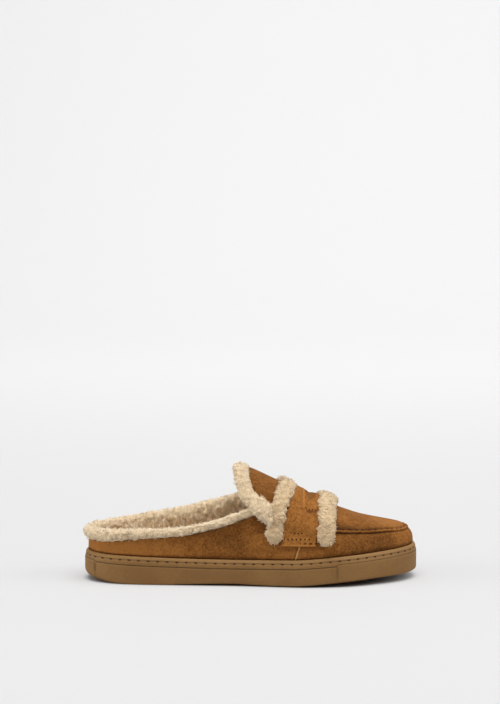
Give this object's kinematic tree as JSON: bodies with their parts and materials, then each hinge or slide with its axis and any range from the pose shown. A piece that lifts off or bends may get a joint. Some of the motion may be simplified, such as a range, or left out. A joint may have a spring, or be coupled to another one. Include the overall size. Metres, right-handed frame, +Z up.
{
  "type": "shearling-lined loafer mule",
  "caption": "Backless suede loafer mule for the right foot, with shearling edges, a slotted saddle strap and tongue, on a flat rubber cupsole.",
  "frame": {"origin": "on the floor under the middle of the shoe's bounding box", "axes": "+X runs from heel to toe, +Y to the inner side of the foot, +Z up"},
  "size_m": [0.2715, 0.0995, 0.0971],
  "materials": {
    "rubber": "moulded brown gum rubber, matt",
    "suede": "tan suede with a short nap",
    "shearling": "cream curly shearling pile",
    "footbed": "shearling-covered cushion"
  },
  "bodies": {
    "root": {"outsole": "rubber", "footbed": "footbed", "upper": "suede", "tongue": "suede", "saddle_strap": "suede", "strap_shearling_rear": "shearling", "strap_shearling_front": "shearling", "tongue_shearling": "shearling", "collar_shearling": "shearling"}
  },
  "joints": []
}
